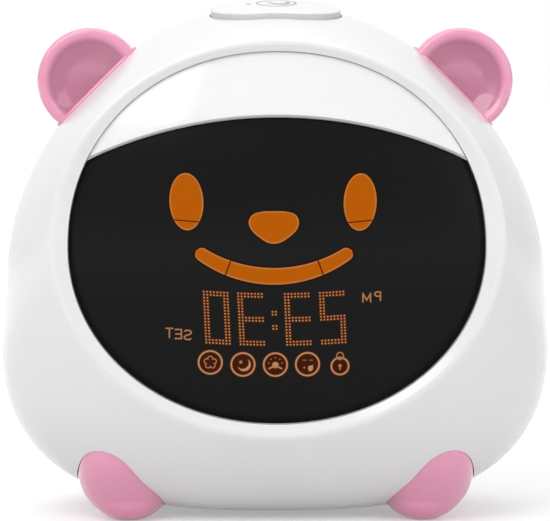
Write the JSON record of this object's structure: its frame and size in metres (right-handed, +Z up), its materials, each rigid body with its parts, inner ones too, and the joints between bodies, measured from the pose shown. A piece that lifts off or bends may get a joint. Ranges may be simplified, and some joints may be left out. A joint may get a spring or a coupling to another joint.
{
  "type": "kids alarm clock with night light",
  "caption": "Animal-head-shaped alarm clock with a domed dark display, a white night-light brow, pink ears and ball feet, and a press bar on its crown.",
  "frame": {"origin": "on the table under the middle of the clock", "axes": "+Z up, the display faces -Y, +X to the right of someone who looks at the display"},
  "size_m": [0.13, 0.0754, 0.1223],
  "materials": {
    "case_white": "glossy white ABS",
    "dark_lens": "smoked glossy acrylic",
    "night_light_white": "milky glossy diffuser",
    "pink_plastic": "glossy pink ABS",
    "button_white": "satin white",
    "inner_white": "plain white moulding",
    "screw_steel": "zinc plated",
    "contact_steel": "nickel plated",
    "speaker_metal": "black basket",
    "circuit_board": "green solder mask",
    "switch_black": "black moulding",
    "cell_jacket": "plain dark jacket",
    "led_amber": "amber lamp",
    "led_white": "clear lamp",
    "ribbon_grey": "flat cable"
  },
  "bodies": {
    "case": {"front_shell": "case_white", "rear_shell": "case_white", "display_lens": "dark_lens", "brow_diffuser": "night_light_white", "ear_left": "pink_plastic", "ear_right": "pink_plastic", "foot_front_left": "pink_plastic", "foot_front_right": "pink_plastic", "foot_rear_left": "pink_plastic", "foot_rear_right": "pink_plastic", "foot_screws": "screw_steel", "snooze_board_screws": "screw_steel", "case_screws": "screw_steel", "speaker_screws": "screw_steel", "main_board_screws": "screw_steel", "display_board_screws": "screw_steel", "night_light_screws": "screw_steel", "snooze_board": "circuit_board", "main_board": "circuit_board", "display_board": "circuit_board", "night_light_board": "circuit_board", "snooze_switch": "switch_black", "tact_switches": "switch_black", "lock_switch_body": "switch_black", "ribbon_connectors": "switch_black", "speaker": "speaker_metal", "speaker_clamp": "inner_white", "display_mask": "inner_white", "light_tray": "inner_white", "battery_tray": "inner_white", "battery_1": "cell_jacket", "battery_2": "cell_jacket", "battery_3": "cell_jacket", "battery_contacts": "contact_steel", "usb_socket": "contact_steel", "display_leds": "led_amber", "night_light_leds": "led_white", "display_ribbon": "ribbon_grey"},
    "snooze_button": {"snooze_button": "case_white"},
    "time_button": {"time_button": "button_white"},
    "alarm_button": {"alarm_button": "button_white"},
    "light_button": {"light_button": "button_white"},
    "plus_button": {"plus_button": "button_white"},
    "minus_button": {"minus_button": "button_white"},
    "lock_switch_knob": {"lock_switch_knob": "button_white"},
    "battery_door": {"battery_door": "case_white", "battery_door_screws": "screw_steel"}
  },
  "joints": [
    {"name": "snooze_press", "type": "slide", "parent": "case", "child": "snooze_button", "axis": [0, 0, -1], "range_m": [0, 0.0012], "stiffness_N_per_m": 900},
    {"name": "time_press", "type": "slide", "parent": "case", "child": "time_button", "axis": [0, -1, 0], "range_m": [0, 0.0008], "stiffness_N_per_m": 600},
    {"name": "alarm_press", "type": "slide", "parent": "case", "child": "alarm_button", "axis": [0, -1, 0], "range_m": [0, 0.0008], "stiffness_N_per_m": 600},
    {"name": "light_press", "type": "slide", "parent": "case", "child": "light_button", "axis": [0, -1, 0], "range_m": [0, 0.0008], "stiffness_N_per_m": 600},
    {"name": "plus_press", "type": "slide", "parent": "case", "child": "plus_button", "axis": [0, -1, 0], "range_m": [0, 0.0008], "stiffness_N_per_m": 600},
    {"name": "minus_press", "type": "slide", "parent": "case", "child": "minus_button", "axis": [0, -1, 0], "range_m": [0, 0.0008], "stiffness_N_per_m": 600},
    {"name": "lock_slide", "type": "slide", "parent": "case", "child": "lock_switch_knob", "axis": [1, 0, 0], "range_m": [0, 0.004]},
    {"name": "battery_door_lift", "type": "slide", "parent": "case", "child": "battery_door", "axis": [0, 1, 0], "range_m": [0, 0.012]}
  ]
}
